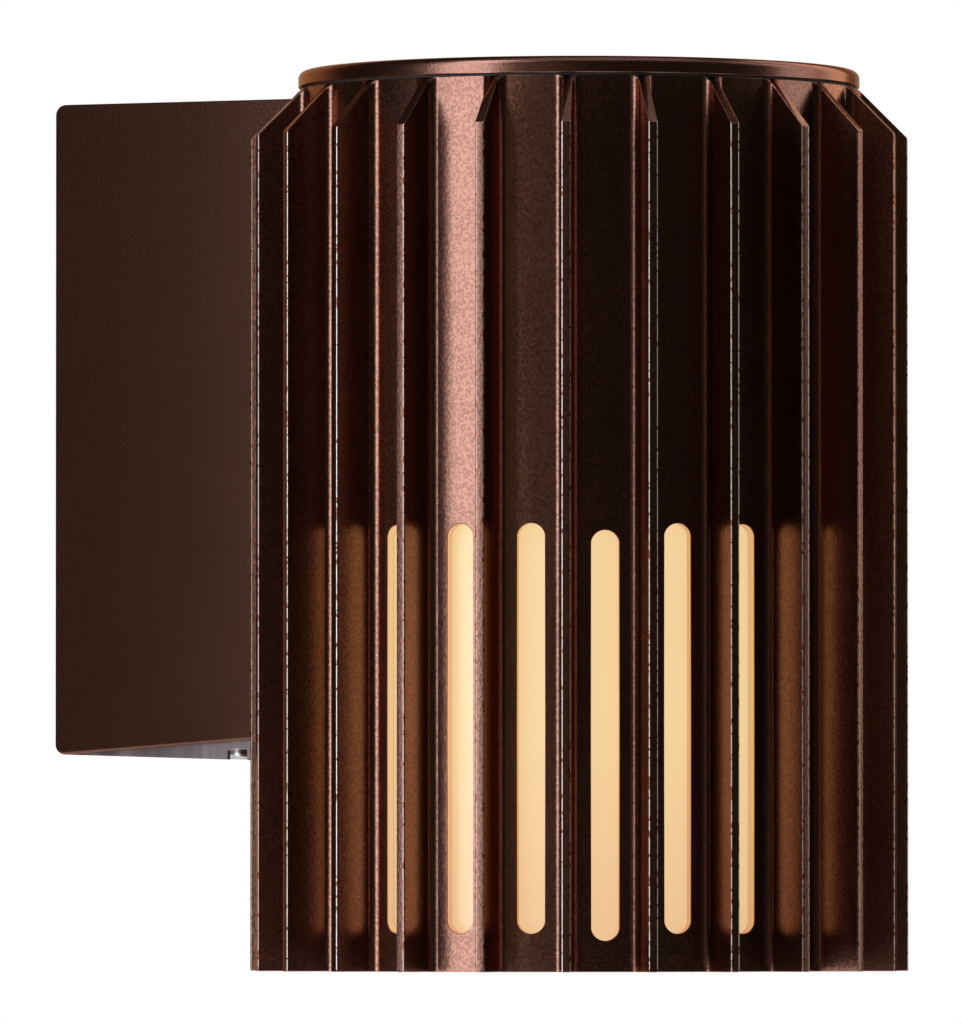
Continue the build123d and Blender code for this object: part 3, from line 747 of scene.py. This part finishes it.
def fitOut(piece):
    # inside the tube: lugs for the plate, a bridge for the stud, bosses for the arm's screws
    inside = {
        "lugAngles": (30, 150, 270),
        "lugLow": (34, -4.5, 100),
        "lugHigh": (51.4, 4.5, 112),
        "lugCircle": 39.0,
        "lugHole": 1.92 * mm,
        "bridgeLow": (-51.2, -7, 150),
        "bridgeHigh": (51.2, 7, 154),
        "bossHeights": (111.0, 157.0),
        "bossRadius": 5.0 * mm,
        "bossHole": 1.92 * mm,
        "leadHeight": 134.0,
        "leadHole": 6.0 * mm,
        "studHole": 3.2 * mm,
        "rounding": 0.6 * mm,
    }
    added = []
    holes = []
    for degrees in inside["lugAngles"]:
        lug = block("lug", fromAxis(*inside["lugLow"]), fromAxis(*inside["lugHigh"]))
        pick(lug, "EDGE", lambda a, b: max(a.x, b.x) < axisX + 35 * mm or min(a.z, b.z) > level(111.9))
        roundEdges(inside["rounding"])
        done()
        ends = [fromAxis(inside["lugCircle"], 0, height) for height in (99, 110)]
        hole = rod("hole", inside["lugHole"], *ends, vertices=24)
        for shape, group in ((lug, added), (hole, holes)):
            shape.data.transform(turned(radians(degrees)))
            group.append(shape)
    bridge = block("bridge", fromAxis(*inside["bridgeLow"]), fromAxis(*inside["bridgeHigh"]))
    pick(bridge, "EDGE", lambda a, b: abs(a.x - b.x) > 50 * mm)
    roundEdges(inside["rounding"])
    done()
    added.append(bridge)
    holes.append(rod("hole", inside["studHole"], fromAxis(0, 0, 149), fromAxis(0, 0, 155)))
    for height in inside["bossHeights"]:
        foot = fromAxis(0, 52, height)
        boss = rod("boss", inside["bossRadius"], fromAxis(0, 44.9, height), foot, vertices=48)
        pick(boss, "EDGE", lambda a, b: max(a.y, b.y) < axisY + 45 * mm)
        roundEdges(inside["rounding"])
        done()
        added.append(boss)
        ends = [fromAxis(0, y, height) for y in (44, 54)]
        holes.append(rod("hole", inside["bossHole"], *ends, vertices=24))
    ends = [fromAxis(0, y, inside["leadHeight"]) for y in (46, 54)]
    holes.append(rod("hole", inside["leadHole"], *ends, vertices=48))
    combined(piece, joined(added), "UNION")
    combined(piece, joined(holes), "DIFFERENCE")
    return piece


fittedTube = fitOut(makeFinnedTube())
finished(fittedTube, "fixture", "bronze_paint", ["finned_body"], material="worn_highlit_bronze_paint")


# Cap


def makeCap():
    cap = {
        "radius": 53.1 * mm,
        "thick": 3.2 * mm,
        "edge": 1.5 * mm,
        "underEdge": 0.3 * mm,
        "spigot": 50.5 * mm,
        "spigotDepth": 2.5 * mm,
        "spigotWall": 2.5 * mm,
        "boss": 8.0 * mm,
        "stud": 3.0 * mm,
        "studDepth": 4.1 * mm,
        "rimRound": 0.25 * mm,
    }
    high = capHigh.z
    low = high - cap["thick"]
    piece = rod("turnedCap", cap["radius"], (axisX, axisY, low), (axisX, axisY, high), vertices=160)
    pick(piece, "EDGE", lambda a, b: min(a.z, b.z) > high - 0.1 * mm)
    roundEdges(cap["edge"], 8)
    done()
    pick(piece, "EDGE", lambda a, b: max(a.z, b.z) < low + 0.1 * mm)
    roundEdges(cap["underEdge"], 3)
    done()
    # the spigot, its hollow and the stud's boss, from the underside inwards
    pick(piece, "FACE", lambda centre, normal: normal.z < -0.99 and centre.z < low + 0.1 * mm)
    bpy.ops.mesh.inset(thickness=cap["radius"] - cap["underEdge"] - cap["spigot"])
    extrude((0, 0, -cap["spigotDepth"]))
    bpy.ops.mesh.inset(thickness=cap["spigotWall"])
    extrude((0, 0, cap["spigotDepth"]))
    bpy.ops.mesh.inset(thickness=cap["spigot"] - cap["spigotWall"] - cap["boss"])
    extrude((0, 0, -cap["spigotDepth"]))
    bpy.ops.mesh.inset(thickness=cap["boss"] - cap["stud"])
    extrude((0, 0, cap["studDepth"]))
    done()

    def out(spot):
        return (spot - fromAxis(0, 0, 0)).xy.length

    def turnedRim(a, b):
        # the edges round the spigot and the boss, at their lower ends
        flat = abs(a.z - b.z) < 0.01 * mm and a.z < low - cap["spigotDepth"] + 0.01 * mm
        return flat and abs(out(a) - out(b)) < 0.01 * mm

    pick(piece, "EDGE", turnedRim)
    roundEdges(cap["rimRound"])
    done()
    return piece


finished(makeCap(), "fixture", "bronze_paint", ["top_cap"])


# Arm


def makeArm():
    arm = {
        "half": 19.0 * mm,
        "reach": 52.17 * mm,
        "bottom": 41.0,
        "top": 165.2,
        "rise": 0.0663,
        "corner": 2.0 * mm,
        "edge": 0.5 * mm,
        "wall": 2.0 * mm,
        "saddle": 53.7 * mm,
        "cavityReach": 44.5 * mm,
        "cavityCorner": 1.0 * mm,
        "ribReach": 4.4 * mm,
        "ribDepth": 3.0 * mm,
        "holes": ((111, 2.1 * mm), (157, 2.1 * mm), (134, 6.0 * mm)),
        "holeDepth": 5.5 * mm,
    }
    top = level(arm["top"])
    bottom = level(arm["bottom"])
    inner = arm["half"] - arm["wall"]
    piece = block("boxArm", (-arm["half"], -arm["reach"], bottom), (arm["half"], 0, top))
    pick(piece, "VERT", lambda spot: spot.y < -arm["reach"] / 2 and spot.z < bottom + 1 * mm)
    bpy.ops.transform.translate(value=(0, 0, arm["rise"] * arm["reach"]))
    done()
    pick(piece, "EDGE", lambda a, b: min(a.y, b.y) > -1 * mm and abs(a.x - b.x) > arm["half"])
    roundEdges(arm["corner"], 6)
    done()
    pick(piece, "EDGE", lambda a, b: min(abs(a.x), abs(b.x)) > arm["half"] - 0.01 * mm and a.x * b.x > 0)
    roundEdges(arm["edge"], 3)
    done()

    # the saddle against the tube, and the cavity that is open to the wall and below
    saddle = rod("saddle", arm["saddle"], fromAxis(0, 0, 0), fromAxis(0, 0, 172), vertices=192)
    combined(piece, saddle, "DIFFERENCE")
    ceiling = top - arm["wall"]
    cavity = block("cavity", (-inner, -arm["cavityReach"], bottom - 3 * mm), (inner, 3 * mm, ceiling))

    def inCorner(a, b):
        upright = abs(a.z - b.z) > 50 * mm and a.y < -1 * mm
        return upright or min(a.z, b.z) > ceiling - 1 * mm

    pick(cavity, "EDGE", inCorner)
    roundEdges(arm["cavityCorner"], 3)
    done()
    combined(piece, cavity, "DIFFERENCE")
    rib = block(
        "rib",
        (-inner - 0.4 * mm, -arm["ribReach"] - arm["wall"], ceiling - arm["ribDepth"]),
        (inner + 0.4 * mm, -arm["ribReach"], ceiling + 0.4 * mm),
    )
    combined(piece, rib, "UNION")
    holes = []
    for height, radius in arm["holes"]:
        near = Vector((0, -arm["cavityReach"] + 1 * mm, level(height)))
        holes.append(rod("hole", radius, near, near - Vector((0, arm["holeDepth"], 0)), vertices=48))
    combined(piece, joined(holes), "DIFFERENCE")
    return piece


finished(makeArm(), "fixture", "bronze_paint", ["wall_arm"])


# Threads and fasteners


def thread(name, radius, depth, pitch, low, high, sides, rows):
    # a rod whose round section is a little off its axis, twisted once for each turn of the thread
    piece = rod(name, radius - depth / 2, (0, 0, low), (0, 0, high), vertices=sides)
    turns = (high - low) / pitch
    pick(piece, "EDGE", lambda a, b: abs(a.z - b.z) > (high - low) / 2)
    bpy.ops.mesh.subdivide(number_cuts=round(rows * turns))
    done()
    pick(piece, "VERT", lambda spot: True)
    bpy.ops.transform.translate(value=(depth / 2, 0, 0))
    done()
    twist = {"deform_method": "TWIST", "deform_axis": "Z", "angle": 2 * pi * turns}
    return applied(piece, "SIMPLE_DEFORM", twist)


def makeScrew(head):
    # seat at the origin, shank up, with a hexagon recess in its domed head
    piece = rod("screw", head["radius"], (0, 0, -head["height"]), (0, 0, 0), vertices=36)
    pick(piece, "EDGE", lambda a, b: max(a.z, b.z) < -head["height"] / 2)
    roundEdges(0.6 * head["height"], 5)
    done()
    sizes = (head["shank"], head["threadDepth"], head["pitch"], -0.1 * mm, head["length"])
    shank = thread("shank", *sizes, sides=20, rows=7)
    pick(shank, "FACE", lambda centre, normal: normal.z > 0.9)
    bpy.ops.mesh.inset(thickness=0.3 * head["shank"])
    bpy.ops.transform.translate(value=(0, 0, 0.2 * mm))
    done()
    mouth = (0, 0, -head["height"] - 1 * mm)
    recess = rod("recess", 0.52 * head["radius"], mouth, (0, 0, -0.45 * head["height"]), vertices=6)
    combined(piece, recess, "DIFFERENCE")
    return joined([piece, shank])


def placed(piece, place, turn=(0, 0, 0)):
    # a copy of a screw, turned about its seat and put there
    spin = Matrix.Rotation(turn[2], 4, "Z") @ Matrix.Rotation(turn[0], 4, "X")
    return copied(piece, Matrix.Translation(place) @ spin)


screwHead = {
    "radius": 3.6 * mm,
    "height": 2.2 * mm,
    "shank": 1.9 * mm,
    "length": 8.7 * mm,
    "threadDepth": 0.3 * mm,
    "pitch": 0.7 * mm,
}
smallHead = {
    "radius": 2.8 * mm,
    "height": 1.8 * mm,
    "shank": 1.4 * mm,
    "length": 5.7 * mm,
    "threadDepth": 0.22 * mm,
    "pitch": 0.5 * mm,
}
shortHead = dict(smallHead, length=1.5 * mm)
screw = makeScrew(screwHead)
smallScrew = makeScrew(smallHead)
shortScrew = makeScrew(shortHead)

# where each screw's head sits, and how the screw is tilted and turned
seats = {
    "plateCircle": 39,
    "plateHeight": 96.8,
    "plateAngles": (30, 150, 270),
    "plateTurn": 1.1,
    "armDepth": 44.5 * mm,
    "armHeights": (111, 157),
    "footAside": 31,
    "footHeight": 101.2,
    "footTurn": 0.4,
    "holderAside": 7,
    "holderHeight": 138.2,
    "holderTurn": 0.9,
    "cover": Vector((0, -30 * mm, level(42.1))),
    "coverTurn": 0.3,
    "earthPlate": fromAxis(0, 31, 100),
    "earthTurn": 0.2,
    "earthWall": Vector((0, -2 * mm, level(118))),
}
plateSeat = fromAxis(seats["plateCircle"], 0, seats["plateHeight"])
plateSeats = [turned(radians(degrees)) @ plateSeat for degrees in seats["plateAngles"]]
plateTurns = [(0, 0, n * seats["plateTurn"]) for n in range(len(plateSeats))]
plateScrews = joined([placed(screw, seat, turn) for seat, turn in zip(plateSeats, plateTurns)])
armSeats = [Vector((0, -seats["armDepth"], level(height))) for height in seats["armHeights"]]
armScrews = joined([placed(screw, seat, (pi / 2, 0, 0)) for seat in armSeats])
footSeats = [fromAxis(side * seats["footAside"], 0, seats["footHeight"]) for side in (-1, 1)]
footScrews = joined([placed(smallScrew, seat, (pi, 0, seats["footTurn"])) for seat in footSeats])
holderSeats = [fromAxis(side * seats["holderAside"], 0, seats["holderHeight"]) for side in (-1, 1)]
holderScrews = joined([placed(smallScrew, seat, (pi, 0, seats["holderTurn"])) for seat in holderSeats])
coverScrew = placed(smallScrew, seats["cover"], (0, 0, seats["coverTurn"]))
earthPlate = placed(smallScrew, seats["earthPlate"], (pi, 0, seats["earthTurn"]))
earthWall = placed(shortScrew, seats["earthWall"], (-pi / 2, 0, 0))
earthScrews = joined([earthPlate, earthWall])
for piece in (screw, smallScrew, shortScrew):
    bpy.data.objects.remove(piece)
fasteners = {
    "plateScrews": (plateScrews, "zinc_steel", "plate_screws"),
    "armScrews": (armScrews, "zinc_steel", "arm_screws"),
    "footScrews": (footScrews, "zinc_steel", "bracket_screws"),
    "holderScrews": (holderScrews, "zinc_steel", "lampholder_screws"),
    "coverScrew": (coverScrew, "zinc_steel", "cover_screw"),
    "earthScrews": (earthScrews, "brass", "earth_screws"),
}
for name, (piece, slot, node) in fasteners.items():
    piece.name = name
    finished(piece, "fixture", slot, [node], angle=40)


def makeStud():
    stud = {
        "radius": 3.0 * mm,
        "depth": 0.6 * mm,
        "pitch": 1.0 * mm,
        "low": level(142.5),
        "high": level(168.4),
    }
    piece = thread("threadedStud", *stud.values(), sides=24, rows=8)
    piece.data.transform(Matrix.Translation((axisX, axisY, 0)))
    return piece


def makeNut():
    nut = {"corner": 5.77 * mm, "low": 144.0, "high": 149.0, "chamfer": 0.6 * mm, "bore": 3.02 * mm}
    low = fromAxis(0, 0, nut["low"])
    high = fromAxis(0, 0, nut["high"])
    piece = rod("hexNut", nut["corner"], low, high, vertices=6)
    blank = rod("blank", nut["corner"] - 0.02 * mm, low, high, vertices=48)
    pick(blank, "EDGE", lambda a, b: abs(a.z - b.z) < 0.1 * mm)
    roundEdges(nut["chamfer"], 1)
    done()
    combined(piece, blank, "INTERSECT")
    bore = rod("bore", nut["bore"], low - Vector((0, 0, 1 * mm)), high + Vector((0, 0, 1 * mm)))
    return combined(piece, bore, "DIFFERENCE")


def makeBulbCap():
    # the bulb's screw cap with its rolled thread, closed by a cone towards the contact
    shape = {
        "radius": 13.1 * mm,
        "depth": 0.8 * mm,
        "pitch": 3.62 * mm,
        "low": level(93),
        "high": level(112),
    }
    piece = thread("bulbScrewCap", *shape.values(), sides=64, rows=18)
    pick(piece, "FACE", lambda centre, normal: normal.z > 0.9 and centre.z > shape["high"] - 0.1 * mm)
    cone = ((0.6, 0.95), (0.7, 0.88), (0.7, 0.855))
    for rise, scale in cone:
        extrude((0, 0, rise * mm))
        bpy.ops.transform.resize(value=(scale, scale, 1), center_override=(0, 0, 0))
    done()
    piece.data.transform(Matrix.Translation((axisX, axisY, 0)))
    return piece


finished(makeStud(), "fixture", "zinc_steel", ["cap_stud"], angle=60)
finished(makeNut(), "fixture", "zinc_steel", ["cap_nut"])
finished(makeBulbCap(), "bulb", "bulb_metal", ["bulb_cap"], angle=60)


# Sheet and moulded pieces: the solid's own shape, with its edges broken


softening = {"weld": 0.002 * mm, "flat": radians(0.5), "sharp": radians(35), "segments": 2}


def softened(node, name, width):
    piece = bpy.data.objects.new(name, nodes[node].data.copy())
    bpy.context.scene.collection.objects.link(piece)
    piece.data.transform(nodes[node].matrix_world)
    pick(piece, "VERT", lambda spot: True)
    bpy.ops.mesh.remove_doubles(threshold=softening["weld"])
    bpy.ops.mesh.dissolve_limited(angle_limit=softening["flat"])
    done()
    bevel = {
        "width": width,
        "segments": softening["segments"],
        "limit_method": "ANGLE",
        "angle_limit": softening["sharp"],
    }
    return applied(piece, "BEVEL", bevel)


softPieces = {
    "coverTray": ("bottom_cover", "bare_sheet", 0.12 * mm),
    "bentBracket": ("wall_bracket", "galvanised_sheet", 0.15 * mm),
    "holderStrip": ("lampholder_bracket", "galvanised_sheet", 0.12 * mm),
    "roundPlate": ("mounting_plate", "galvanised_sheet", 0.12 * mm),
    "stampedWasher": ("cap_washer", "zinc_steel", 0.12 * mm),
    "clampBlock": ("terminal_block", "white_plastic", 0.15 * mm),
    "holderBody": ("lampholder", "black_plastic", 0.2 * mm),
}
for name, (node, slot, width) in softPieces.items():
    finished(softened(node, name, width), "fixture", slot, [node])


# Floor, world and lamps


def makeFloor():
    floor = {"below": 0.218, "radius": 0.8, "fadeStart": 0.25, "fadeEnd": 0.70, "pale": 0.80}
    pickNothing()
    place = (axisX, axisY, -floor["below"])
    bpy.ops.mesh.primitive_circle_add(vertices=96, radius=floor["radius"], fill_type="NGON", location=place)
    disc = bpy.context.object
    disc.name = "studioFloor"
    bpy.ops.object.transform_apply(location=True, rotation=True, scale=True)
    material, wire = newMaterial("studio_floor")
    place = wire.make("TexCoord", output="Object")
    ends = {0: place, 1: (axisX, axisY, -floor["below"])}
    away = wire.make("VectorMath", {"operation": "DISTANCE"}, ends, output="Value")
    # clear seen from below, so that the floor hides nothing there
    below = wire.make("NewGeometry", output="Backfacing")
    fade = wire.sum("MAXIMUM", away.step(floor["fadeStart"], floor["fadeEnd"]), below)
    pale = wire.make("BsdfDiffuse", {}, {"Color": (floor["pale"],) * 3 + (1,)})
    clear = wire.make("BsdfTransparent")
    surface = wire.make("MixShader", {}, {0: fade, 1: pale, 2: clear})
    wire.make("OutputMaterial", {}, {"Surface": surface})
    disc.data.materials.append(material)


def makeWorld():
    sky = {
        "backdropTowards": (0.756, 0.654, 0.0),   # past the light as the camera sees it, and to its left
        "backdropStart": 0.66,
        "backdropEnd": 0.90,
        "backdrop": 0.5,
        "frontTowards": (-0.9988, -0.047, 0.0),   # behind the camera
        "frontStart": 0.90,
        "frontEnd": 0.99,
        "front": 0.12,
        "armSideTowards": (-0.9085, 0.418, 0.0),   # what the arm's side shows the camera
        "armSideStart": 0.80,
        "armSideEnd": 0.95,
        "armSide": 0.05,
        "dark": 0.020,
        "warm": (1.0, 0.78, 0.52),
        "diffuse": 0.70,
    }
    world = bpy.data.worlds.new("studio")
    bpy.context.scene.world = world
    world.use_nodes = True
    world.node_tree.nodes.clear()
    wire = Wire(world.node_tree)
    path = wire.make("LightPath", output="Is Camera Ray")
    glossy = path.out("Is Glossy Ray")
    direction = wire.make("TexCoord", output="Generated")

    def glow(part):
        # a soft patch of the surroundings round one direction
        ends = {0: direction, 1: sky[part + "Towards"]}
        facing = wire.make("VectorMath", {"operation": "DOT_PRODUCT"}, ends, output="Value")
        return facing.step(sky[part + "Start"], sky[part + "End"]) * sky[part]

    shine = sky["dark"] + glow("backdrop") + glow("front") + glow("armSide")
    seen = path.sum("MAXIMUM", path, path.out("Is Transmission Ray"))
    # white to the camera, the studio in reflections, an even light otherwise
    power = seen + (1 - seen) * (glossy * shine + (1 - glossy) * sky["diffuse"])
    tint = glossy.mix((1, 1, 1), sky["warm"])
    light = wire.make("Background", {}, {"Color": tint, "Strength": power})
    wire.make("OutputWorld", {}, {"Surface": light})


def makeLamp(name, lamp):
    data = bpy.data.lights.new(name, "AREA")
    data.shape = "RECTANGLE"
    data.size, data.size_y = lamp["size"]
    data.energy = lamp["power"]
    data.color = lamp.get("colour", (1, 1, 1))
    obj = bpy.data.objects.new(name, data)
    bpy.context.scene.collection.objects.link(obj)
    obj.location = lamp["place"]
    obj.rotation_euler = (lamp["aim"] - obj.location).to_track_quat("-Z", "Y").to_euler()
    obj.visible_camera = False


lamps = {
    "stripSoftbox": {
        "size": (0.080, 0.60),
        "power": 0.565,
        "colour": (0.95, 1.0, 1.06),
        "place": Vector((-0.1932, -0.0446, -0.02)),
        "aim": Vector((-0.0551, -0.1057, -0.02)),
    },
    "overheadSoftbox": {
        "size": (1.4, 1.4),
        "power": 3.0,
        "place": Vector((-0.3, -0.5, 1.5)),
        "aim": Vector((0.0, -0.10, 0.0)),
    },
    "rightSoftbox": {
        "size": (0.35, 0.90),
        "power": 1.4,
        "place": Vector((0.455, -0.760, 0.10)),
        "aim": Vector((0.0, -0.10, 0.0)),
    },
    "rearSoftbox": {
        "size": (0.45, 1.10),
        "power": 2.8,
        "place": Vector((0.86, -0.52, 0.48)),
        "aim": Vector((0.0, -0.10, 0.0)),
    },
    "highLeftSoftbox": {
        "size": (0.8, 0.8),
        "power": 2.2,
        "place": Vector((-1.3, 0.15, 1.1)),
        "aim": Vector((0.0, -0.10, 0.0)),
    },
    "highRightSoftbox": {
        "size": (0.8, 0.8),
        "power": 1.4,
        "place": Vector((0.6, -1.4, 1.2)),
        "aim": Vector((0.0, -0.10, 0.0)),
    },
}
makeFloor()
makeWorld()
for name, lamp in lamps.items():
    makeLamp(name, lamp)
print("floor, world and lamps made:", len(lamps))


# Camera, at the photograph's viewpoint


def makeCamera():
    shot = {
        "place": Vector((-2.4148, -1.2124, -0.0901)),
        "aim": Vector((-0.0078, -0.0845, -0.0164)),
        "lens": 494.4,
    }
    data = bpy.data.cameras.new("photoCamera")
    data.lens = shot["lens"]
    data.clip_end = 30.0
    camera = bpy.data.objects.new("photoCamera", data)
    bpy.context.scene.collection.objects.link(camera)
    camera.location = shot["place"]
    camera.rotation_euler = (shot["aim"] - shot["place"]).to_track_quat("-Z", "Y").to_euler()
    bpy.context.scene.camera = camera


makeCamera()
bpy.context.scene.view_settings.view_transform = "Standard"

bpy.context.view_layer.update()
